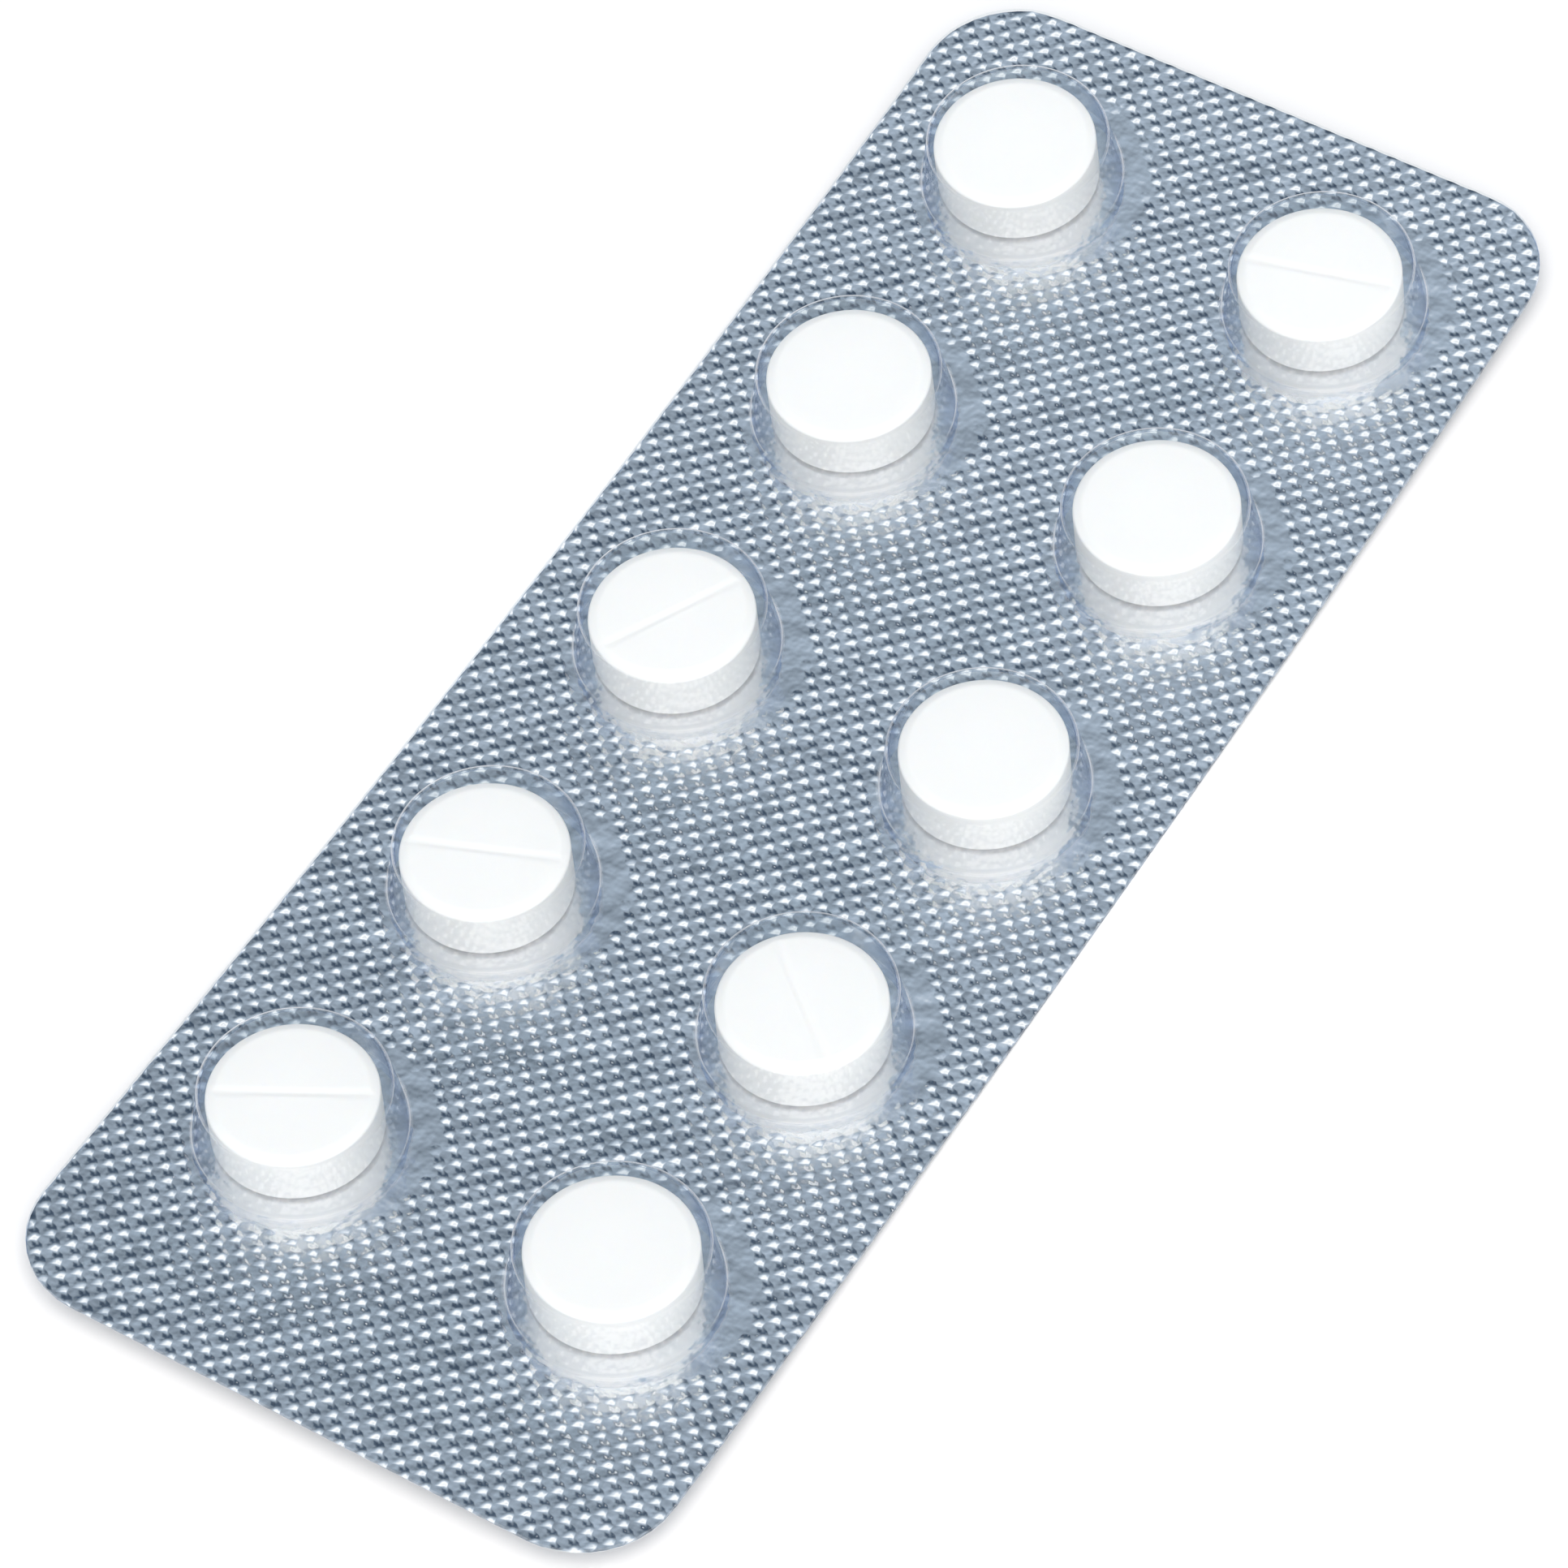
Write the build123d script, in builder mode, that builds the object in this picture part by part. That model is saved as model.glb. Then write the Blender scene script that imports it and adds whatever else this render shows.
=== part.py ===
from build123d import *
import os
from math import cos, radians, sin, tan

# Push-through blister pack: a clear thermoformed film with ten pockets, sealed to a lidding foil,
# with a round break-scored tablet in each pocket. The card has sprung into a slight bow.
# Millimetres. The foil is underneath, the long side of the card runs along Y, pockets stand up
# along Z. The origin is the middle of the card, at the lowest line of the foil's underside.

# Card
card_length = 96.0
card_width = 37.4
card_corner_radius = 5.2
foil_thickness = 0.03        # hard aluminium with its heat-seal lacquer
film_thickness = 0.25        # film as it comes off the reel, still its full gauge in the flange
formed_wall = 0.18           # film where it is drawn out into a pocket
bow_rise = 1.75              # the two ends spring up this much above the middle

# Pocket grid: two columns along the card, set off from its centre by the die cut
rows = 5
row_pitch = 17.7
column_pitch = 18.85
grid_shift_x = -0.2
grid_shift_y = 2.1

# Tablet: flat-faced, bevel-edged, with a break score across one face
tablet_diameter = 8.85
tablet_edge_height = 2.8     # the straight side between the two bevels
bevel_width = 0.5
bevel_height = 0.2
score_width = 0.5
score_depth = 0.22

# Pocket: a drafted cup that leaves the tablet loose
side_clearance = 0.345       # round the tablet, at the cup's narrow end
head_clearance = 0.85        # over the tablet
wall_draft = 9.0             # degrees off the cup's own axis
rim_radius = 0.55            # rolled edge round the cup's flat top, outside
foot_radius = 0.45           # hollow sweep from the cup's wall into the flange, outside
play_margin = 0.1            # a tablet that lies right over still misses the wall by this

# How each tablet has come to lie, row by row from the +Y end and left (-X) before right:
# share of its free play, bearing of that shift and turn of its score in degrees, score upwards
tablet_lies = {
    "tablet_row1_left": (1.00, 153, 75, False),
    "tablet_row1_right": (0.45, 176, 14, True),
    "tablet_row2_left": (0.64, 132, -20, False),
    "tablet_row2_right": (1.00, 116, 48, False),
    "tablet_row3_left": (0.22, -125, 61, True),
    "tablet_row3_right": (1.00, 118, 100, False),
    "tablet_row4_left": (0.63, -168, 21, True),
    "tablet_row4_right": (0.23, -71, -39, True),
    "tablet_row5_left": (0.59, 169, 29, True),
    "tablet_row5_right": (0.74, 137, -60, False),
}

# Levels above the card's underside and radii that follow
tablet_radius = tablet_diameter / 2
face_radius = tablet_radius - bevel_width
tablet_thickness = tablet_edge_height + 2 * bevel_height
flange_top = foil_thickness + film_thickness
cavity_top = foil_thickness + tablet_thickness + head_clearance
pocket_top = cavity_top + formed_wall
pocket_foot = foil_thickness + film_thickness / 2      # the cup's wall starts inside the flange
lean = tan(radians(wall_draft))
wall_shift = formed_wall / cos(radians(wall_draft))    # the wall's thickness, measured level
bow_radius = ((card_length / 2) ** 2 + bow_rise**2) / (2 * bow_rise)


def cavity_radius(height):
    """Inside radius of a pocket at a height above the card's underside."""
    return tablet_radius + side_clearance + (cavity_top - height) * lean


def pocket_radius(height):
    """Outside radius of a pocket at a height above the card's underside."""
    return cavity_radius(height) + wall_shift


def card_plane(x, y):
    """Plane that lies on the bowed card's underside at (x, y), its Z square to the card there."""
    drop = (bow_radius**2 - y**2) ** 0.5
    return Plane((x, y, bow_radius - drop), x_dir=(1, 0, 0), z_dir=(0, -y, drop))


def card_sheet(bottom, top):
    """The card's outline, trimmed to the bowed layer between two levels."""
    with BuildPart() as sheet:
        with BuildSketch():
            RectangleRounded(card_width, card_length, card_corner_radius)
        extrude(amount=bow_rise + 2 * top)
        with Locations(Location((0, 0, bow_radius), (0, 90, 0))):
            Cylinder(bow_radius - bottom, 2 * card_width, mode=Mode.INTERSECT)
            Cylinder(bow_radius - top, 2 * card_width, mode=Mode.SUBTRACT)
    return sheet.part


def cup(radius_at, bottom, top, edge_radius):
    """A drafted cup with a rounded upper edge, standing on the XY plane's Z axis."""
    with BuildPart() as solid:
        with BuildSketch(Plane.XZ):
            with BuildLine():
                Polyline(
                    (0, bottom),
                    (radius_at(bottom), bottom),
                    (radius_at(top), top),
                    (0, top),
                    close=True,
                )
            make_face()
            fillet(vertices().group_by(Axis.Y)[-1].sort_by(Axis.X)[-1], edge_radius)
        revolve(axis=Axis.Z)
    return solid.part


def bevelled_disc():
    """A tablet without its score: a disc bevelled round both faces, standing on the XY plane."""
    with BuildPart() as disc:
        with BuildSketch(Plane.XZ):
            with BuildLine():
                Polyline(
                    (0, 0),
                    (face_radius, 0),
                    (tablet_radius, bevel_height),
                    (tablet_radius, tablet_thickness - bevel_height),
                    (face_radius, tablet_thickness),
                    (0, tablet_thickness),
                    close=True,
                )
            make_face()
        revolve(axis=Axis.Z)
    return disc.part


shoulder_height = foil_thickness + tablet_thickness - bevel_height
free_play = cavity_radius(shoulder_height) - tablet_radius - play_margin
seat_lift = (face_radius + free_play) ** 2 / (2 * bow_radius)    # a flat face bridges the bow
pocket_places = [
    (grid_shift_x + side * column_pitch / 2, grid_shift_y + ((rows - 1) / 2 - row) * row_pitch)
    for row in range(rows)
    for side in (-1, 1)
]
pocket_planes = [card_plane(x, y) for x, y in pocket_places]

# Lidding foil
foil_sheet = card_sheet(0, foil_thickness)
with BuildPart() as lidding_foil:
    add(foil_sheet)

# Formed film: the flange and its pockets are one sheet, each cup swept into the flange at its foot
film_sheet = card_sheet(foil_thickness, flange_top)
pocket_outside = cup(pocket_radius, pocket_foot, pocket_top, rim_radius)
pocket_inside = cup(cavity_radius, 0, cavity_top, rim_radius - formed_wall)
with BuildPart() as formed_film:
    add(film_sheet)
    for pocket_plane in pocket_planes:
        with Locations(pocket_plane):
            add(pocket_outside)
    flange_face = faces().sort_by(SortBy.AREA)[-2]
    fillet([wire.edge() for wire in flange_face.inner_wires()], foot_radius)
    for pocket_plane in pocket_planes:
        with Locations(pocket_plane):
            add(pocket_inside, mode=Mode.SUBTRACT)

lidding_foil.part.label = "lidding_foil"
formed_film.part.label = "formed_film"

os.makedirs("parts", exist_ok=True)
export_step(lidding_foil.part, "parts/lidding_foil.step")
export_step(formed_film.part, "parts/formed_film.step")

# Tablets: a bevelled disc each, standing on the foil
blank_tablet = bevelled_disc()
for (name, (play, bearing, turn, score_up)), pocket_plane in zip(tablet_lies.items(), pocket_planes):
    shift = play * free_play
    seat_origin = pocket_plane.from_local_coords(
        (shift * cos(radians(bearing)), shift * sin(radians(bearing)), foil_thickness + seat_lift)
    )
    score_line = pocket_plane.x_dir * cos(radians(turn)) + pocket_plane.y_dir * sin(radians(turn))
    seat = Plane(seat_origin, score_line, pocket_plane.z_dir)
    score_face = tablet_thickness if score_up else 0
    score_bottom = score_face - score_depth if score_up else score_depth
    with BuildPart() as tablet:
        with Locations(seat):
            add(blank_tablet)
        with BuildSketch(Plane(seat.origin, x_dir=seat.z_dir, z_dir=seat.x_dir)):
            with BuildLine():
                Polyline(
                    (score_face, -score_width / 2),
                    (score_bottom, 0),
                    (score_face, score_width / 2),
                    close=True,
                )
            make_face()
        extrude(amount=tablet_diameter, both=True, mode=Mode.SUBTRACT)
    tablet.part.label = name
    export_step(tablet.part, f"parts/{name}.step")
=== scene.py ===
from math import cos, pi, radians, sin

import bpy
import numpy as np
from mathutils import Matrix, Vector
from mathutils.geometry import delaunay_2d_cdt


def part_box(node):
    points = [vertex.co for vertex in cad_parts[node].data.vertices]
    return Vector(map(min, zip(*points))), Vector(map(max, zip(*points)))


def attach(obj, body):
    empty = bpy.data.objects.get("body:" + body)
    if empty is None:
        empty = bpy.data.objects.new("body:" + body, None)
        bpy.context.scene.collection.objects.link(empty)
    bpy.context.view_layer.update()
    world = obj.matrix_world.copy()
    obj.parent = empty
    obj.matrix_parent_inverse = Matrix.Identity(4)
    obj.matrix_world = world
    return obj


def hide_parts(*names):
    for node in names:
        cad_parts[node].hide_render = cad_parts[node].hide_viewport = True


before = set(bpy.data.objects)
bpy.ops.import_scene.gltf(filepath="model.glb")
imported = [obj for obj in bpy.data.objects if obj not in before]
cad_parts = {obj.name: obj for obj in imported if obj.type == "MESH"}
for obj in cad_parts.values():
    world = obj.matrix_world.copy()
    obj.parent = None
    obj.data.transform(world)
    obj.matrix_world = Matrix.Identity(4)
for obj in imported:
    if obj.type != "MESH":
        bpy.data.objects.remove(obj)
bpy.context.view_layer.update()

# ---------------------------------------------------------------------------------------------
# Sizes, in metres. The card's width and length come from the formed film's box in model.glb;
# the rest are the pack's own drawing. The card's points are worked out flat, as (x, s, h): x
# across it, s along the arc of its underside and h square to it. They are bent to the bow last
# of all.
# ---------------------------------------------------------------------------------------------
MM = 0.001
film_low, film_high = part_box("formed_film")
CARD_WIDTH = film_high.x - film_low.x
CARD_LENGTH = film_high.y - film_low.y
CORNER_RADIUS = 5.2 * MM
CORNER_STEPS = 10                  # facets of a corner of the card
FOIL = 0.03 * MM
FILM = 0.25 * MM
FLANGE_TOP = FOIL + FILM
SEAL_SINK = 0.012 * MM             # the film is fused this deep into the foil's lacquer
FILM_UNDERSIDE = FOIL - SEAL_SINK
BOW_RISE = 1.75 * MM               # the card's ends stand this much higher than its middle
BOW_RADIUS = ((CARD_LENGTH / 2) ** 2 + BOW_RISE**2) / (2 * BOW_RISE)

# Pockets: two columns of five, each turned about its own axis
ROW_PITCH, COLUMN_PITCH = 17.7 * MM, 18.85 * MM
GRID_SHIFT = (-0.2 * MM, 2.1 * MM)
CAVITY_TOP = FOIL + 4.05 * MM
POCKET_TOP = CAVITY_TOP + 0.18 * MM
CAVITY_MOUTH = 5.412 * MM          # inside radius where the pocket opens on the foil
CAVITY_HEAD = 4.77 * MM            # inside radius under the flat top
WALL = 0.182 * MM
RIM_RADIUS = 0.55 * MM
FOOT_RADIUS = 0.45 * MM
FOOT_RING = 0.04 * MM              # narrow flat ring from a pocket's foot to the flange's mesh
CROWN_SAG = 0.05 * MM              # the flat top sinks this much towards its middle
CROWN_SHARES = np.array([0.8, 0.55, 0.25])  # its rings, as shares of the radius inside the rim
POCKET_STEPS = 80                  # facets round a pocket

# Sealing knurl: round dots on a square lattice at 45 degrees to the card
DOT_PITCH = 0.89 * MM
DOT_RADIUS = 0.38 * MM
DOT_HEIGHT = 0.09 * MM             # dots of the foil, pushed up into the film
FILM_DOT_HEIGHT = 0.012 * MM       # what shows of them on the film's face
EDGE_MARGIN = 0.04 * MM            # a dot's points keep this far inside the card's cut edge
FOOT_MARGIN = 0.05 * MM            # and this far outside a pocket's foot ring
# Rings of mesh points round a dot: (share of the dot's radius, points in the ring)
FOIL_TOP_RINGS = ((0.35, 6), (0.8, 6), (1.0, 7))
FOIL_UNDER_RINGS = ((0.5, 5), (1.0, 6))
FILM_RINGS = ((0.55, 6), (1.0, 6))
# The sealing plate is cut away round each pocket, a little out of line with the cups; the dots
# next to the cut are pressed only in part
RELIEF_RADIUS = 6.05 * MM
RELIEF_FADE = 0.5 * MM
RELIEF_SHIFT = (0.55 * MM, 0.43 * MM)

# Tablets
TABLET_RADIUS, TABLET_HEIGHT = 4.425 * MM, 3.2 * MM
BEVEL_WIDTH, BEVEL_HEIGHT = 0.5 * MM, 0.2 * MM
EDGE_SOFTNESS = 0.12 * MM          # pressed powder rubs round at its edges
SCORE_HALF_WIDTH, SCORE_DEPTH = 0.3 * MM, 0.11 * MM
SCORE_SOFTNESS = 0.09 * MM
TABLET_STEPS = 120                 # facets round a tablet
FACE_STEPS = 44                    # rings on a face, close enough to carry the score
FREE_PLAY = 0.411 * MM             # how far a tablet can shift sideways in its pocket
SEAT_LIFT = 0.014 * MM             # height of the bow over a tablet's width
# Lie of each tablet, row by row from the +Y end, left before right: share of its free play,
# bearing of that shift and turn of its score in degrees, score upwards
TABLET_LIES = {
    "tablet_row1_left": (1.00, 153, 75, False),
    "tablet_row1_right": (0.45, 176, 14, True),
    "tablet_row2_left": (0.64, 132, -20, False),
    "tablet_row2_right": (1.00, 116, 48, False),
    "tablet_row3_left": (0.22, -125, 61, True),
    "tablet_row3_right": (1.00, 118, 100, False),
    "tablet_row4_left": (0.63, -168, 21, True),
    "tablet_row4_right": (0.23, -71, -39, True),
    "tablet_row5_left": (0.59, 169, 29, True),
    "tablet_row5_right": (0.74, 137, -60, False),
}

# How finely points are told apart
NEAR = 0.01 * MM                   # a point this close to a pocket's foot ring belongs to it
SAME_PLACE = 1e-4 * MM             # points this close are one point
TRIANGULATION_NEAR = 1e-5          # the same for the triangulation, which works in millimetres

# ---------------------------------------------------------------------------------------------
# Studio. Bearings run from the near side of the card towards +X, in degrees.
# ---------------------------------------------------------------------------------------------
LIGHT_BEARING = 37.4               # the side all the light comes from
LEAD_ELEVATION = 60.0              # the studio's air is brightest round this direction
SOFTBOX_DISTANCE = 1.0             # metres from the card
AIR_STRENGTH = 1.3
# Tone of the air by the angle in degrees from that direction: from light thrown back by the
# ground, through a dark band and a blue-grey one, to a white ring, a greyer one and the white
# middle
AIR_TONES = (
    (180, "#A9B4BE"),
    (125, "#66727F"),
    (106, "#313C49"),
    (88, "#3A4A5D"),
    (77, "#6D7883"),
    (66, "#8F9BA8"),
    (57, "#A0AEBE"),
    (47, "#D6DDE4"),
    (41, "#FFFFFF"),
    (36, "#FFFFFF"),
    (29, "#CBD0D6"),
    (18, "#FFFFFF"),
)
FLOOR_HALF = 1.5                   # metres from the card to the floor's edge


# ---------------------------------------------------------------------------------------------
# Shape
# ---------------------------------------------------------------------------------------------
def flat_length(y):
    """Distance along the bowed card at a level distance y from its middle: R arcsin(y / R)."""
    return BOW_RADIUS * np.arcsin(y / BOW_RADIUS)


def bend(points):
    """Wraps flat (x, s, h) points round the bow.

    y = (R - h) sin(s / R) and z = R - (R - h) cos(s / R), with R the bow's radius.
    """
    x, s, h = points.T
    angle = s / BOW_RADIUS
    y = (BOW_RADIUS - h) * np.sin(angle)
    z = BOW_RADIUS - (BOW_RADIUS - h) * np.cos(angle)
    return np.c_[x, y, z]


def bend_directions(directions, s):
    """Turns flat directions with the bow: each is rolled about X by its place's angle s / R."""
    angle = s / BOW_RADIUS
    dx, ds, dh = directions.T
    dy = ds * np.cos(angle) - dh * np.sin(angle)
    dz = ds * np.sin(angle) + dh * np.cos(angle)
    return np.c_[dx, dy, dz]


HALF_WIDTH = CARD_WIDTH / 2
HALF_LENGTH = float(flat_length(CARD_LENGTH / 2))
POCKETS = np.array(
    [
        (
            GRID_SHIFT[0] + side * COLUMN_PITCH / 2,
            flat_length(GRID_SHIFT[1] + row * ROW_PITCH),
        )
        for row in (2, 1, 0, -1, -2)
        for side in (-1, 1)
    ]
)


def edge_distance(x, s):
    """Distance inside the card's rounded outline, negative outside it.

    It is the corner radius less the signed distance to the core rectangle, which is the card
    less its corner radius all round.
    """
    dx = np.abs(x) - (HALF_WIDTH - CORNER_RADIUS)
    ds = np.abs(s) - (HALF_LENGTH - CORNER_RADIUS)
    corner = np.hypot(np.maximum(dx, 0), np.maximum(ds, 0))
    return CORNER_RADIUS - corner - np.minimum(np.maximum(dx, ds), 0)


def nearest(x, s, centres):
    """Distance from each (x, s) to the nearest of the centres."""
    return np.min(np.hypot(x[:, None] - centres[:, 0], s[:, None] - centres[:, 1]), axis=1)


def dot_centres():
    """Lattice points of the knurl that fall on the sealed part of the card.

    Point (i, j) is pitch * (i u + j v), with u and v the two unit vectors at 45 degrees to the
    card.
    """
    reach = int((HALF_LENGTH + HALF_WIDTH) / DOT_PITCH)
    i, j = np.meshgrid(np.arange(-reach, reach + 1), np.arange(-reach, reach + 1))
    x = (DOT_PITCH * (i - j) / np.sqrt(2)).ravel()
    s = (DOT_PITCH * (i + j) / np.sqrt(2)).ravel()
    sealed = edge_distance(x, s) > -DOT_RADIUS
    x, s = x[sealed], s[sealed]
    clear = nearest(x, s, POCKETS + RELIEF_SHIFT) > RELIEF_RADIUS
    return np.c_[x[clear], s[clear]]


DOTS = dot_centres()


def knurl(x, s, height):
    """Height and upward normal of the knurl at each (x, s).

    A dot's height is height * (1 - q)^1.5 with q = (r / a)^2 and a = DOT_RADIUS, a dome with
    steep flanks; its slope is -3 height sqrt(1 - q) / a^2 times the offset from its centre. The
    nearest dot is found by rounding in the lattice's own axes. A dot whose centre lies less than
    RELIEF_FADE outside a relief has that share of the height.
    """
    i = np.round((x + s) / np.sqrt(2) / DOT_PITCH)
    j = np.round((s - x) / np.sqrt(2) / DOT_PITCH)
    centre_x = DOT_PITCH * (i - j) / np.sqrt(2)
    centre_s = DOT_PITCH * (i + j) / np.sqrt(2)
    from_cut = nearest(centre_x, centre_s, POCKETS + RELIEF_SHIFT) - RELIEF_RADIUS
    height = height * np.clip(from_cut / RELIEF_FADE, 0, 1)
    dx, ds = x - centre_x, s - centre_s
    left = np.sqrt(np.clip(1 - (dx**2 + ds**2) / DOT_RADIUS**2, 0, None))
    slope = 3 * height * left / DOT_RADIUS**2
    normal = np.c_[slope * dx, slope * ds, np.ones(len(x))]
    return height * left**3, normal / np.linalg.norm(normal, axis=1)[:, None]


def ring(centre, radius, steps, turn=0.0):
    """Points evenly round a circle, in the card's flat plane."""
    angle = 2 * pi * np.arange(steps) / steps + turn
    return np.c_[centre[0] + radius * np.cos(angle), centre[1] + radius * np.sin(angle)]


def card_outline():
    """The rounded card outline: four arcs and the straight sides cut to half the knurl's pitch."""
    corners = []
    for quarter, (side_x, side_s) in enumerate(((1, 1), (-1, 1), (-1, -1), (1, -1))):
        angle = pi / 2 * (quarter + np.linspace(0, 1, CORNER_STEPS + 1))
        centre_x = side_x * (HALF_WIDTH - CORNER_RADIUS)
        centre_s = side_s * (HALF_LENGTH - CORNER_RADIUS)
        x = centre_x + CORNER_RADIUS * np.cos(angle)
        s = centre_s + CORNER_RADIUS * np.sin(angle)
        corners.append(np.c_[x, s])
    outline = []
    for here, following in zip(corners, corners[1:] + corners[:1]):
        side = following[0] - here[-1]
        count = max(1, int(np.hypot(*side) / (0.5 * DOT_PITCH)))
        share = np.linspace(0, 1, count + 1)[1:-1, None]
        outline.append(np.vstack([here, here[-1] + side * share]))
    return np.vstack(outline)


OUTLINE = card_outline()


def dot_points(rings):
    """Points on every dot, as one array: its centre, and rings at shares of its radius."""
    offsets = [np.zeros((1, 2))]
    for share, steps in rings:
        offsets.append(ring((0, 0), share * DOT_RADIUS, steps, pi / steps))
    points = (DOTS[:, None, :] + np.vstack(offsets)[None]).reshape(-1, 2)
    return points[edge_distance(points[:, 0], points[:, 1]) > EDGE_MARGIN]


def triangulate(points, holes):
    """Triangulates flat points inside the card's outline and outside the holes.

    Both outlines are kept as edges. The first points are the outline's, then each hole's in
    turn, so that other surfaces can join on to them.
    """
    loops = [OUTLINE, *holes]
    starts = np.cumsum([0] + [len(loop) for loop in loops])
    runs = [np.arange(a, b) for a, b in zip(starts, starts[1:])]
    edges = np.vstack([np.c_[run, np.roll(run, -1)] for run in runs])
    flat = np.vstack([*loops, points])
    out, _, faces, *_ = delaunay_2d_cdt(
        (flat / MM).tolist(), edges.tolist(), [], 0, TRIANGULATION_NEAR, False
    )
    flat = np.array([tuple(v) for v in out]) * MM
    # The triangulation rounds to single precision: the outlines go back to their exact places
    flat[: starts[-1]] = np.vstack(loops)
    faces = np.array(faces)
    # A triangle stays if its middle is on the card and beyond the flats of each hole's polygon
    middle = flat[faces].mean(axis=1)
    keep = edge_distance(middle[:, 0], middle[:, 1]) > 0
    for hole in holes:
        centre = hole.mean(axis=0)
        inscribed = np.hypot(*(hole[0] - centre)) * cos(pi / len(hole))
        keep &= np.hypot(*(middle - centre).T) > inscribed
    faces = faces[keep]
    # All triangles are wound to face upwards
    a, b, c = flat[faces[:, 0]], flat[faces[:, 1]], flat[faces[:, 2]]
    turn = (b - a)[:, 0] * (c - a)[:, 1] - (b - a)[:, 1] * (c - a)[:, 0]
    faces[turn < 0] = faces[turn < 0][:, ::-1]
    return flat, faces


def ring_faces(rings, steps):
    """Triangles between each ring of points and the next: a quad (k, j) cut along its diagonal."""
    k, j = np.meshgrid(np.arange(rings - 1), np.arange(steps), indexing="ij")
    k, j = k.ravel(), j.ravel()
    following = (j + 1) % steps
    low, high = k * steps, (k + 1) * steps
    quads = np.c_[low + j, low + following, high + following, high + j]
    return np.vstack([quads[:, [0, 1, 2]], quads[:, [0, 2, 3]]])


def fan_faces(first, pole, steps):
    """Triangles from a ring, given by its first point, to its pole point."""
    j = np.arange(steps)
    return np.c_[first + j, first + (j + 1) % steps, np.full(steps, pole)]


def loft(profile, centre, steps):
    """Turns a pocket's half section about its axis, closed on one pole point at its last height.

    Ring k holds the points (centre + r_k (cos a, sin a), h_k). The surface's normal is the
    section's tangent (dr, dh), by central differences, turned a quarter to (dh, -dr) and carried
    round the same way.
    """
    radii, heights = profile.T
    dr, dh = np.gradient(profile, axis=0).T
    size = np.hypot(dr, dh)
    angle = 2 * pi * np.arange(steps) / steps
    across, along, level = np.cos(angle), np.sin(angle), np.ones(steps)
    points = np.stack(
        [
            centre[0] + np.outer(radii, across),
            centre[1] + np.outer(radii, along),
            np.outer(heights, level),
        ],
        2,
    )
    normals = np.stack(
        [
            np.outer(dh / size, across),
            np.outer(dh / size, along),
            np.outer(-dr / size, level),
        ],
        2,
    )
    last = (len(radii) - 1) * steps
    triangles = np.vstack([ring_faces(len(radii), steps), fan_faces(last, last + steps, steps)])
    points = np.vstack([points.reshape(-1, 3), [(*centre, heights[-1])]])
    return points, triangles, np.vstack([normals.reshape(-1, 3), [(0, 0, 1)]])


def mesh_object(name, points, faces, materials):
    """A linked object at the origin, with its mesh in place."""
    mesh = bpy.data.meshes.new(name)
    mesh.from_pydata(points, [], faces)
    for material in materials:
        mesh.materials.append(material)
    made = bpy.data.objects.new(name, mesh)
    bpy.context.scene.collection.objects.link(made)
    return made


def bent_piece(name, parts, materials):
    """Joins parts into one closed mesh, bent to the bow.

    A part is (flat points, triangles, normals, material number, or one for each triangle). Each
    corner keeps its part's own normal, so a surface is smooth within a part and crisp where two
    meet.
    """
    points, faces, corners, numbers, count = [], [], [], [], 0
    for part_points, part_faces, part_normals, number in parts:
        part_normals = np.broadcast_to(part_normals, part_points.shape)
        points.append(part_points)
        faces.append(part_faces + count)
        corners.append(bend_directions(part_normals, part_points[:, 1])[part_faces])
        numbers.append(np.broadcast_to(number, len(part_faces)))
        count += len(part_points)
    points, faces, corners = bend(np.vstack(points)), np.vstack(faces), np.vstack(corners)
    # Points of neighbouring parts that fall on one place become one point, and triangles that
    # this closes up are left out
    _, first, same = np.unique(
        np.round(points / SAME_PLACE), axis=0, return_index=True, return_inverse=True
    )
    points, faces = points[first], same.ravel()[faces]
    whole = np.all(faces != np.roll(faces, -1, axis=1), axis=1)
    piece = mesh_object(name, points.tolist(), faces[whole].tolist(), materials)
    piece.data.polygons.foreach_set("material_index", np.concatenate(numbers)[whole])
    piece.data.shade_smooth()
    piece.data.normals_split_custom_set(corners[whole].reshape(-1, 3).tolist())
    return piece


def lift(flat, height):
    """Flat points with a height each."""
    return np.c_[flat, np.broadcast_to(height, len(flat))]


def edge_band(low, high):
    """The card's cut edge, from a low height to a high one along the outline, facing outwards.

    A point's normal runs from the nearest point of the core rectangle, the card less its corner
    radius all round.
    """
    count = len(OUTLINE)
    here, following = np.arange(count), (np.arange(count) + 1) % count
    points = np.vstack([lift(OUTLINE, low), lift(OUTLINE, high)])
    triangles = np.vstack(
        [
            np.c_[here, following, following + count],
            np.c_[here, following + count, here + count],
        ]
    )
    core_corner = np.array([HALF_WIDTH, HALF_LENGTH]) - CORNER_RADIUS
    outward = OUTLINE - np.clip(OUTLINE, -core_corner, core_corner)
    outward = outward / np.linalg.norm(outward, axis=1)[:, None]
    return points, triangles, np.tile(lift(outward, 0), (2, 1)), 0


def foil_mesh():
    """Lidding foil: upper and lower face both follow the knurl, one foil's thickness apart."""
    parts = []
    for rings, level, outward in ((FOIL_TOP_RINGS, FOIL, 1), (FOIL_UNDER_RINGS, 0, -1)):
        flat, faces = triangulate(dot_points(rings), [])
        shape, normal = knurl(flat[:, 0], flat[:, 1], DOT_HEIGHT)
        parts.append((lift(flat, level + shape), faces[:, ::outward], outward * normal, 0))
    edge_shape, _ = knurl(OUTLINE[:, 0], OUTLINE[:, 1], DOT_HEIGHT)
    return [*parts, edge_band(edge_shape, FOIL + edge_shape)]


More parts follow.
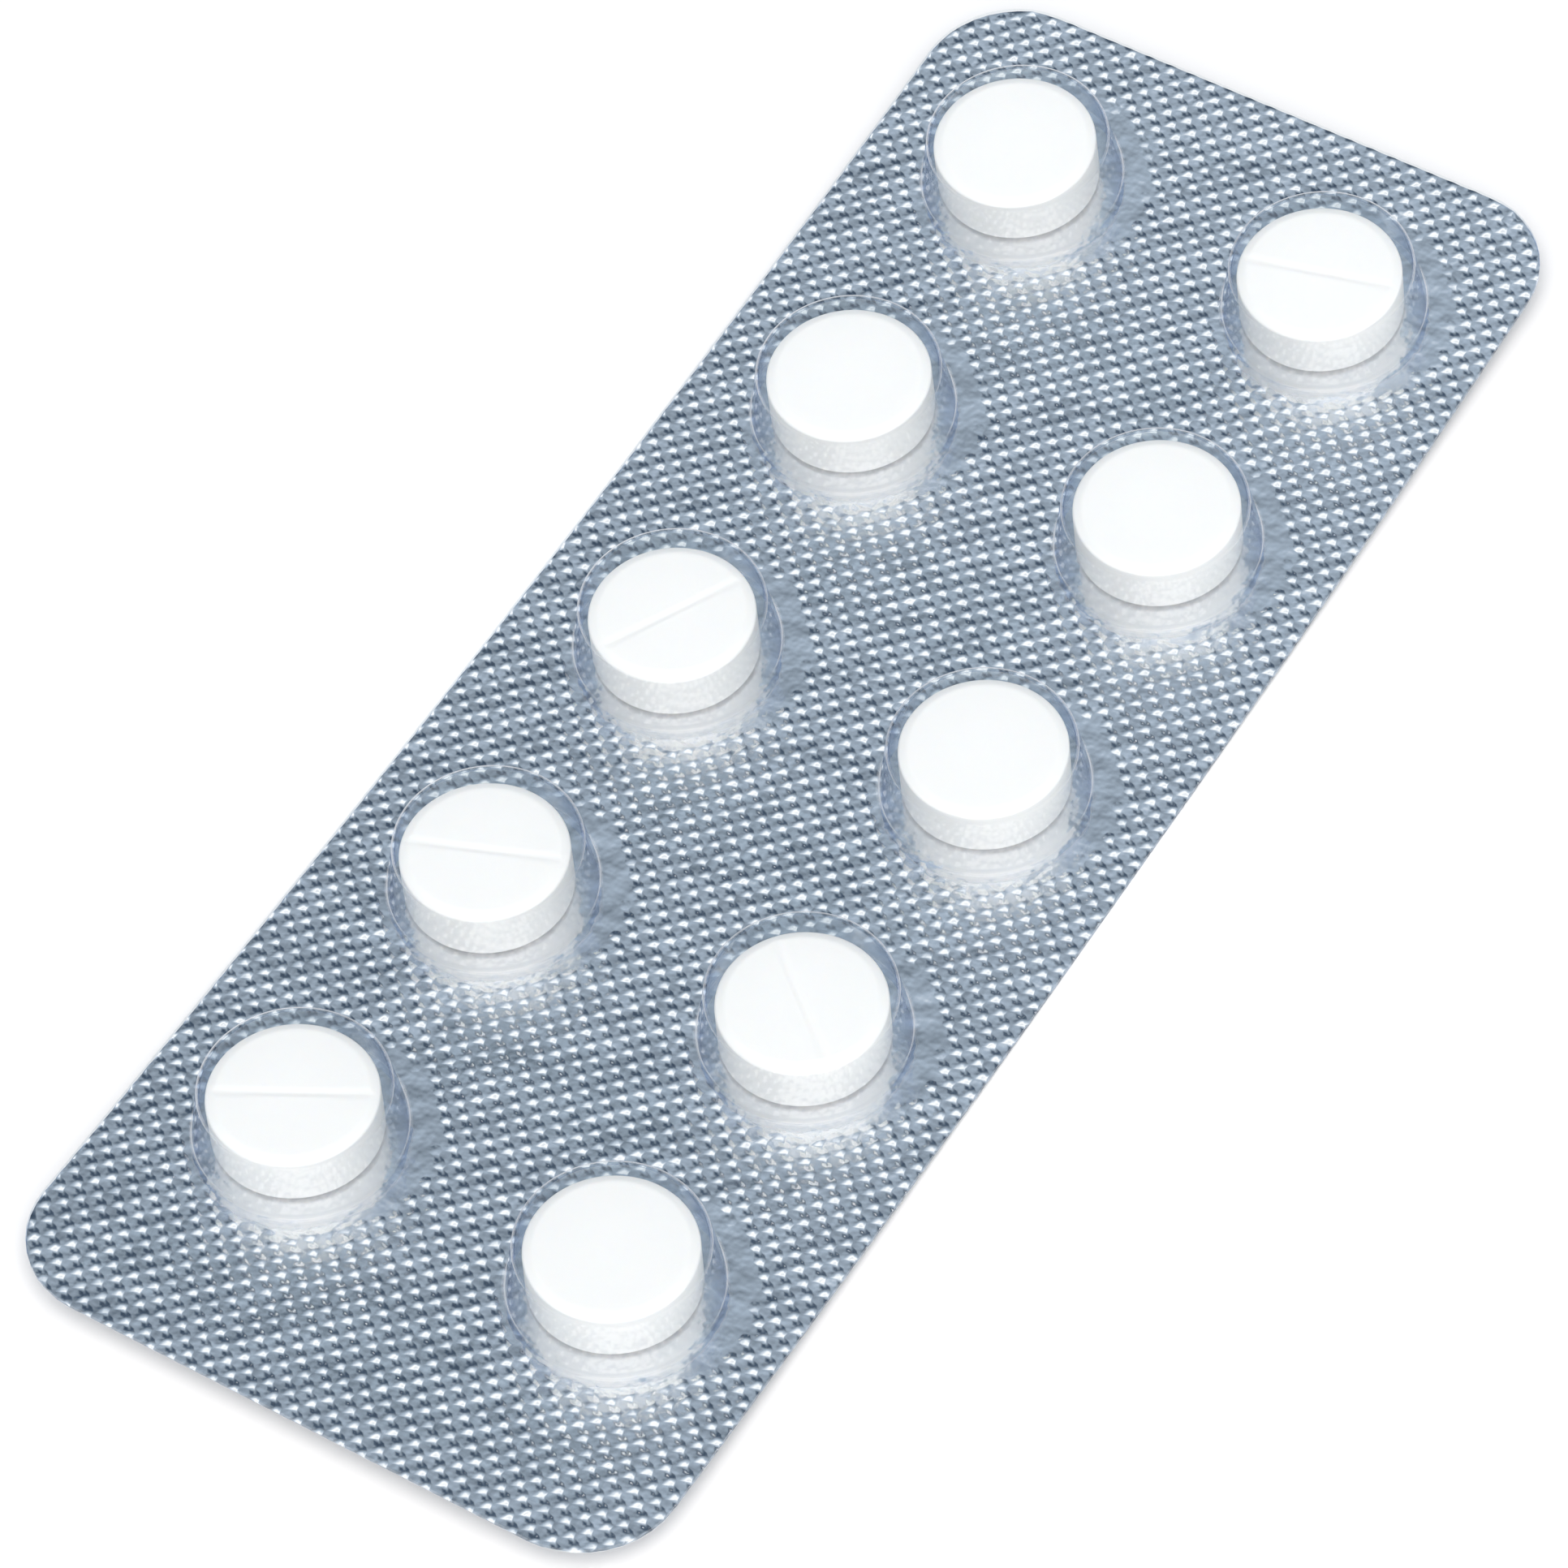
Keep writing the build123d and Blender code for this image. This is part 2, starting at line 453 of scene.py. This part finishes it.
def arc(centre_r, centre_h, radius, start, end, steps):
    """Radii and heights along an arc of a profile, angles in degrees."""
    angle = np.radians(np.linspace(start, end, steps))
    return np.c_[centre_r + radius * np.cos(angle), centre_h + radius * np.sin(angle)]


def crown(rim_radius, top):
    """Radii and heights of a pocket's flat top, sunk by CROWN_SAG (1 - share^2) inside the rim."""
    return np.c_[rim_radius * CROWN_SHARES, top - CROWN_SAG * (1 - CROWN_SHARES**2)]


def pocket_profiles():
    """Half sections of a pocket, outside and inside, from the flange to the middle of its top.

    The wall leans in by the same angle both sides; the rim and the foot are arcs tangent to it.
    """
    lean = np.arctan((CAVITY_MOUTH - CAVITY_HEAD) / (CAVITY_TOP - FOIL))
    tilt = np.degrees(lean)

    def wall_radius(height, offset):
        return CAVITY_MOUTH - (height - FOIL) * np.tan(lean) + offset

    foot_h = FLANGE_TOP + FOOT_RADIUS
    foot_r = wall_radius(foot_h, WALL) + FOOT_RADIUS / np.cos(lean)
    foot = arc(foot_r, foot_h, FOOT_RADIUS, 270, 180 + tilt, steps=8)
    rim_h = POCKET_TOP - RIM_RADIUS
    rim_r = wall_radius(rim_h, WALL) - RIM_RADIUS / np.cos(lean)
    rim = arc(rim_r, rim_h, RIM_RADIUS, tilt, 90, steps=9)
    share = np.linspace(0, 1, 6)[1:-1, None]  # four rings up the wall
    wall = foot[-1] + (rim[0] - foot[-1]) * share
    flange_end = foot[0] + (FOOT_RING, 0)
    outside = np.vstack([[flange_end], foot, wall, rim, crown(rim_r, POCKET_TOP)])

    inner_rim = RIM_RADIUS - WALL
    inner_h = CAVITY_TOP - inner_rim
    inner_r = wall_radius(inner_h, 0) - inner_rim / np.cos(lean)
    inside_rim = arc(inner_r, inner_h, inner_rim, tilt, 90, steps=7)
    mouth = np.array([[CAVITY_MOUTH, FILM_UNDERSIDE]])
    inside_wall = mouth + (inside_rim[0] - mouth) * share
    inside = np.vstack([mouth, inside_wall, inside_rim, crown(inner_r, CAVITY_TOP)])
    return outside, inside


def film_mesh():
    """Formed film: a knurled flange over a flat underside, with ten cups turned from profiles.

    The material numbers are 0 for the flange, 1 for a cup and 2 for its bent places: outside,
    where a triangle lies wholly in the rim's or the foot's height, or a twentieth beyond it.
    """
    outside, inside = pocket_profiles()
    foot_ring = outside[0, 0]
    outer_feet = [ring(centre, foot_ring, POCKET_STEPS) for centre in POCKETS]
    mouths = [ring(centre, inside[0, 0], POCKET_STEPS) for centre in POCKETS]
    dots = dot_points(FILM_RINGS)
    dots = dots[nearest(dots[:, 0], dots[:, 1], POCKETS) > foot_ring + FOOT_MARGIN]
    flat, faces = triangulate(dots, outer_feet)
    shape, normal = knurl(flat[:, 0], flat[:, 1], FILM_DOT_HEIGHT)
    at_foot = nearest(flat[:, 0], flat[:, 1], POCKETS) < foot_ring + NEAR
    shape[at_foot], normal[at_foot] = 0, (0, 0, 1)
    edge_shape, _ = knurl(OUTLINE[:, 0], OUTLINE[:, 1], FILM_DOT_HEIGHT)
    parts = [
        (lift(flat, FLANGE_TOP + shape), faces, normal, 0),
        edge_band(FILM_UNDERSIDE, FLANGE_TOP + edge_shape),
    ]
    flat, faces = triangulate(np.empty((0, 2)), mouths)
    parts.append((lift(flat, FILM_UNDERSIDE), faces[:, ::-1], (0, 0, -1), 0))
    for centre in POCKETS:
        points, triangles, normals = loft(outside, centre, POCKET_STEPS)
        heights = points[triangles][:, :, 2]
        in_rim = heights.min(axis=1) > POCKET_TOP - 1.05 * RIM_RADIUS
        in_foot = heights.max(axis=1) < FLANGE_TOP + 1.05 * FOOT_RADIUS
        parts.append((points, triangles, normals, 1 + (in_rim | in_foot)))
        points, triangles, normals = loft(inside, centre, POCKET_STEPS)
        parts.append((points, triangles[:, ::-1], -normals, 1))
    return parts


def tablet_section():
    """Half section of a tablet from the middle of one face to the middle of the other.

    Its points are (radius, height): a line of corners (face, bevel, side, bevel, face), each
    corner replaced by a quadratic arc that starts and ends EDGE_SOFTNESS from it, with face
    points evenly spread from the middle out.
    """
    corners = np.array(
        [
            (TABLET_RADIUS - BEVEL_WIDTH, 0),
            (TABLET_RADIUS, BEVEL_HEIGHT),
            (TABLET_RADIUS, TABLET_HEIGHT - BEVEL_HEIGHT),
            (TABLET_RADIUS - BEVEL_WIDTH, TABLET_HEIGHT),
        ]
    )
    before = np.vstack([[(0, 0)], corners[:-1]]) - corners
    after = np.vstack([corners[1:], [(0, TABLET_HEIGHT)]]) - corners
    start = corners + before * (EDGE_SOFTNESS / np.linalg.norm(before, axis=1))[:, None]
    end = corners + after * (EDGE_SOFTNESS / np.linalg.norm(after, axis=1))[:, None]
    start, middle, end = start[:, None], corners[:, None], end[:, None]
    t = np.linspace(0, 1, 5)[None, :, None]
    arcs = (1 - t) ** 2 * start + 2 * t * (1 - t) * middle + t**2 * end
    face = np.linspace(0, 1, FACE_STEPS)[1:-1, None] * start[0]
    far_face = face * (1, 0) + (0, TABLET_HEIGHT)
    return np.vstack([face, arcs.reshape(-1, 2), far_face[::-1]])


def tablet_mesh(place, lie):
    """A round tablet: its section turned about its axis, with a V score let into one face.

    At a distance d from the score line the scored face lies depth * (1 - d / w) deep, with
    sqrt(d^2 + e^2) taken for d so that the V is soft, and the tablet is cut back to that depth
    wherever it stands above it. The tablet lies on the card's tangent plane at its pocket and
    bridges the bow.
    """
    play, bearing, turn, score_up = lie
    section = tablet_section()
    steps, rings = TABLET_STEPS, len(section)
    angle = np.tile(2 * pi * np.arange(steps) / steps, rings)
    r, h = np.repeat(section, steps, axis=0).T
    poles = [(0, 0, 0), (0, 0, TABLET_HEIGHT)]
    x, y, z = np.vstack([np.c_[r * np.cos(angle), r * np.sin(angle), h], poles]).T
    away = y * cos(radians(turn)) - x * sin(radians(turn))
    depth = 1 - np.hypot(away, SCORE_SOFTNESS) / SCORE_HALF_WIDTH
    groove = SCORE_DEPTH * np.clip(depth, 0, None)
    z = np.minimum(z, TABLET_HEIGHT - groove) if score_up else np.maximum(z, groove)
    first_pole = rings * steps
    triangles = np.vstack(
        [
            ring_faces(rings, steps),
            fan_faces(0, first_pole, steps)[:, [1, 0, 2]],
            fan_faces(first_pole - steps, first_pole + 1, steps),
        ]
    )
    x = x + play * FREE_PLAY * cos(radians(bearing))
    y = y + play * FREE_PLAY * sin(radians(bearing))
    z = z + FOIL + SEAT_LIFT
    roll = place[1] / BOW_RADIUS
    y, z = y * cos(roll) - z * sin(roll), y * sin(roll) + z * cos(roll)
    points = np.c_[place[0] + x, BOW_RADIUS * sin(roll) + y, BOW_RADIUS * (1 - cos(roll)) + z]
    return points, triangles


# ---------------------------------------------------------------------------------------------
# Materials. A pattern's scale is a count per millimetre on the real piece.
# ---------------------------------------------------------------------------------------------
def colour(code):
    """An sRGB hex colour as the linear colour that shaders take."""
    parts = [int(code[k : k + 2], 16) / 255 for k in (1, 3, 5)]
    linear = [p / 12.92 if p <= 0.04045 else ((p + 0.055) / 1.055) ** 2.4 for p in parts]
    return (*linear, 1.0)


def add_node(tree, kind, settings=None, links=None, **inputs):
    """Adds a node with its settings and input values; links maps an input to an output socket."""
    node = tree.nodes.new(kind)
    for name, value in (settings or {}).items():
        setattr(node, name, value)
    for name, value in inputs.items():
        node.inputs[name.replace("_", " ")].default_value = value
    for name, socket in (links or {}).items():
        tree.links.new(socket, node.inputs[name])
    return node


def blank_material(name):
    """A new material with an empty node tree."""
    material = bpy.data.materials.new(name)
    material.use_nodes = True
    material.node_tree.nodes.clear()
    return material, material.node_tree


def set_ramp(ramp, stops):
    """Gives a colour ramp its (position, hex colour) stops, in rising order."""
    elements = ramp.color_ramp.elements
    while len(elements) < len(stops):
        elements.new(0.5)
    for element, (position, code) in zip(elements, stops):
        element.position, element.color = position, colour(code)


def clear_pvc_film(name, painted_rim_highlight):
    """Thermoformed PVC, about 0.2 mm thick: so thin that it is seen straight through.

    It tints blue where it is seen edge-on, and its outer face mirrors by Fresnel's law in a
    surface that forming has left slightly wavy, in waves of about 1.1 mm. The second argument is
    the share of plain white diffuse mixed in at a glancing angle. This is a painted highlight that
    stands in for the light line refraction draws round a pocket's curved rim and foot.
    """
    material, tree = blank_material(name)
    place = add_node(tree, "ShaderNodeTexCoord")
    waves = add_node(
        tree,
        "ShaderNodeTexNoise",
        links={"Vector": place.outputs["Object"]},
        Scale=0.9 / MM,
        Detail=2.0,
        Roughness=0.5,
    )
    wavy = add_node(
        tree,
        "ShaderNodeBump",
        links={"Height": waves.outputs["Fac"]},
        Strength=0.25,
        Distance=0.1 * MM,
    )
    facing = add_node(tree, "ShaderNodeLayerWeight", Blend=0.5)
    tint = add_node(tree, "ShaderNodeValToRGB", links={"Fac": facing.outputs["Facing"]})
    set_ramp(tint, ((0.5, "#FCFDFD"), (0.75, "#E6ECF3"), (0.92, "#C4D3EA")))
    clear = add_node(tree, "ShaderNodeBsdfTransparent", links={"Color": tint.outputs["Color"]})
    gloss = add_node(
        tree,
        "ShaderNodeBsdfAnisotropic",
        links={"Normal": wavy.outputs["Normal"]},
        Color=colour("#FFFFFF"),
        Roughness=0.06,
    )
    fresnel = add_node(
        tree, "ShaderNodeFresnel", links={"Normal": wavy.outputs["Normal"]}, IOR=1.6
    )
    # Only the outer face mirrors: share = Fresnel * (1 - back face)
    side = add_node(tree, "ShaderNodeNewGeometry")
    outer = add_node(
        tree, "ShaderNodeMath", {"operation": "SUBTRACT"}, {1: side.outputs["Backfacing"]}
    )
    outer.inputs[0].default_value = 1.0
    share = add_node(
        tree,
        "ShaderNodeMath",
        {"operation": "MULTIPLY"},
        {0: fresnel.outputs["Fac"], 1: outer.outputs["Value"]},
    )
    film = add_node(
        tree,
        "ShaderNodeMixShader",
        links={0: share.outputs["Value"], 1: clear.outputs["BSDF"], 2: gloss.outputs["BSDF"]},
    )
    # Painted highlight: plain white diffuse, mixed in towards glancing angles up to the second
    # argument's share, stands in for the light line that refraction draws round a curved rim and
    # foot
    painted_highlight_diffuse = add_node(tree, "ShaderNodeBsdfDiffuse", Color=colour("#FFFFFF"))
    painted_highlight_share = add_node(
        tree,
        "ShaderNodeMapRange",
        links={"Value": facing.outputs["Facing"]},
        From_Min=0.4,
        From_Max=0.8,
        To_Max=painted_rim_highlight,
    )
    surface = add_node(
        tree,
        "ShaderNodeMixShader",
        links={0: painted_highlight_share.outputs["Result"], 1: film.outputs["Shader"], 2: painted_highlight_diffuse.outputs["BSDF"]},
    )
    add_node(tree, "ShaderNodeOutputMaterial", links={"Surface": surface.outputs["Shader"]})
    return material


def rolled_aluminium_foil():
    """Hard rolled aluminium foil, bright side to the film: a soft mirror.

    The sealing tool leaves it crumpled in folds of 0.3 to 1.2 mm, over cockles about 3 mm
    across, and its gloss varies in a grain of 0.4 mm: the rolling grain, drawn as coarse as it
    needs to show.
    """
    material, tree = blank_material("aluminium_foil_rolled")
    place = add_node(tree, "ShaderNodeTexCoord")
    grain = add_node(
        tree,
        "ShaderNodeTexNoise",
        links={"Vector": place.outputs["Object"]},
        Scale=2.5 / MM,
        Detail=3.0,
        Roughness=0.6,
    )
    rough = add_node(
        tree,
        "ShaderNodeMapRange",
        links={"Value": grain.outputs["Fac"]},
        From_Min=0.3,
        From_Max=0.7,
        To_Min=0.11,
        To_Max=0.2,
    )
    folds = add_node(
        tree,
        "ShaderNodeTexNoise",
        links={"Vector": place.outputs["Object"]},
        Scale=0.85 / MM,
        Detail=2.0,
        Roughness=0.5,
    )
    crumple = add_node(
        tree,
        "ShaderNodeBump",
        links={"Height": folds.outputs["Fac"]},
        Strength=0.5,
        Distance=0.2 * MM,
    )
    waves = add_node(
        tree,
        "ShaderNodeTexNoise",
        links={"Vector": place.outputs["Object"]},
        Scale=0.33 / MM,
        Detail=1.0,
        Roughness=0.4,
    )
    cockle = add_node(
        tree,
        "ShaderNodeBump",
        links={"Height": waves.outputs["Fac"], "Normal": crumple.outputs["Normal"]},
        Strength=0.5,
        Distance=0.3 * MM,
    )
    metal = add_node(
        tree,
        "ShaderNodeBsdfPrincipled",
        links={"Roughness": rough.outputs["Result"], "Normal": cockle.outputs["Normal"]},
        Base_Color=colour("#F1F2F4"),
        Metallic=1.0,
    )
    add_node(tree, "ShaderNodeOutputMaterial", links={"Surface": metal.outputs["BSDF"]})
    return material


def pressed_tablet():
    """White tablet pressed from powder: matt, with a faint grain of 0.17 mm.

    The powder is finer than that; its grain is drawn as coarse as it needs to show. Light goes
    about half a millimetre into it.
    """
    material, tree = blank_material("pressed_tablet_powder")
    place = add_node(tree, "ShaderNodeTexCoord")
    grain = add_node(
        tree,
        "ShaderNodeTexNoise",
        links={"Vector": place.outputs["Object"]},
        Scale=6.0 / MM,
        Detail=4.0,
        Roughness=0.6,
    )
    relief = add_node(
        tree,
        "ShaderNodeBump",
        links={"Height": grain.outputs["Fac"]},
        Strength=0.15,
        Distance=0.05 * MM,
    )
    powder = add_node(
        tree,
        "ShaderNodeBsdfPrincipled",
        links={"Normal": relief.outputs["Normal"]},
        Base_Color=colour("#F7F5F4"),
        Roughness=0.7,
        Subsurface_Weight=0.3,
        Subsurface_Radius=(0.6 * MM, 0.5 * MM, 0.4 * MM),
        Subsurface_Scale=1.0,
    )
    add_node(tree, "ShaderNodeOutputMaterial", links={"Surface": powder.outputs["BSDF"]})
    return material


def plain_floor():
    """Matt, nearly white floor paint."""
    material, tree = blank_material("pale_studio_floor")
    matt = add_node(
        tree, "ShaderNodeBsdfPrincipled", Base_Color=colour("#F2F3F4"), Roughness=0.9
    )
    add_node(tree, "ShaderNodeOutputMaterial", links={"Surface": matt.outputs["BSDF"]})
    return material


# ---------------------------------------------------------------------------------------------
# Pieces
# ---------------------------------------------------------------------------------------------
# The second number is the share of the painted rim highlight: plain white mixed in at glancing
# angles
film_finishes = [
    clear_pvc_film("clear_pvc_flange", 0.0),
    clear_pvc_film("clear_pvc_formed_wall", 0.06),
    clear_pvc_film("clear_pvc_rim_and_foot", 0.55),
]
film = bent_piece("film_with_pockets", film_mesh(), film_finishes)
foil = bent_piece("knurled_foil", foil_mesh(), [rolled_aluminium_foil()])
for piece, node, slot in ((film, "formed_film", "clear_film"), (foil, "lidding_foil", "foil")):
    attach(piece, "root")
    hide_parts(node)

powder = pressed_tablet()
for place, (name, lie) in zip(POCKETS, TABLET_LIES.items()):
    points, triangles = tablet_mesh(place, lie)
    tablet = mesh_object("pressed_" + name, points.tolist(), triangles.tolist(), [powder])
    tablet.data.shade_smooth()
    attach(tablet, "root")
    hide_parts(name)


# ---------------------------------------------------------------------------------------------
# Studio
# ---------------------------------------------------------------------------------------------
def direction(bearing, elevation):
    """Unit vector from the card towards a bearing and elevation, in degrees."""
    bearing, elevation = radians(bearing), radians(elevation)
    level = cos(elevation)
    return Vector((sin(bearing) * level, -cos(bearing) * level, sin(elevation)))


def studio_floor():
    """A square of floor under the card."""
    corners = [(x * FLOOR_HALF, y * FLOOR_HALF, 0) for x, y in ((-1, -1), (1, -1), (1, 1), (-1, 1))]
    floor = mesh_object("floor", corners, [(0, 1, 2, 3)], [plain_floor()])


def softbox(name, elevation, size, radiance, mirrored):
    """A square area light on the lit side, facing the card, a little warm.

    A square of side a that shines evenly gives off pi a^2 times its radiance. mirrored says
    whether glossy surfaces show it.
    """
    towards = direction(LIGHT_BEARING, elevation)
    lamp = bpy.data.lights.new(name, "AREA")
    lamp.size = size
    lamp.energy = radiance * pi * size**2
    lamp.color = colour("#FFF6EE")[:3]
    light = bpy.data.objects.new(name, lamp)
    light.visible_glossy = mirrored
    light.location = towards * SOFTBOX_DISTANCE
    light.rotation_mode = "QUATERNION"
    light.rotation_quaternion = towards.to_track_quat("Z", "Y")
    bpy.context.scene.collection.objects.link(light)


def studio_air():
    """World light of a studio lit from one side.

    Its tone depends on the angle a from the leading direction, by a ramp over
    (cos a + 1) / 2: AIR_TONES gives the stops.
    """
    world = bpy.data.worlds.new("studio")
    bpy.context.scene.world = world
    world.use_nodes = True
    tree = world.node_tree
    tree.nodes.clear()
    place = add_node(tree, "ShaderNodeTexCoord")
    along = add_node(
        tree,
        "ShaderNodeVectorMath",
        {"operation": "DOT_PRODUCT"},
        {0: place.outputs["Generated"]},
    )
    along.inputs[1].default_value = direction(LIGHT_BEARING, LEAD_ELEVATION)
    level = add_node(
        tree,
        "ShaderNodeMapRange",
        links={"Value": along.outputs["Value"]},
        From_Min=-1.0,
        From_Max=1.0,
    )
    ramp = add_node(tree, "ShaderNodeValToRGB", links={"Fac": level.outputs["Result"]})
    set_ramp(ramp, [((cos(radians(angle)) + 1) / 2, code) for angle, code in AIR_TONES])
    air = add_node(
        tree,
        "ShaderNodeBackground",
        links={"Color": ramp.outputs["Color"]},
        Strength=AIR_STRENGTH,
    )
    add_node(tree, "ShaderNodeOutputWorld", links={"Surface": air.outputs["Background"]})


def studio_camera():
    """A long lens from the near right, well above the card, with the horizon tipped a little."""
    back = direction(37.43, 53.85)
    distance, roll = 0.40303, radians(-6.89)
    aim = Vector((-0.00013, -0.00266, 0.0))
    camera = bpy.data.objects.new("camera", bpy.data.cameras.new("camera"))
    camera.data.sensor_width, camera.data.lens = 36.0, 178.8
    camera.data.clip_start, camera.data.clip_end = 0.05, 20.0
    camera.location = aim + back * distance
    camera.rotation_mode = "QUATERNION"
    level_view = back.to_track_quat("Z", "Y").to_matrix()
    camera.rotation_quaternion = (level_view @ Matrix.Rotation(roll, 3, "Z")).to_quaternion()
    bpy.context.scene.collection.objects.link(camera)
    bpy.context.scene.camera = camera


studio_floor()
softbox("key_softbox", elevation=58.0, size=0.9, radiance=1.6, mirrored=True)
softbox("top_softbox", elevation=80.0, size=0.8, radiance=1.35, mirrored=False)
studio_air()
studio_camera()
bpy.context.scene.view_settings.view_transform = "Standard"
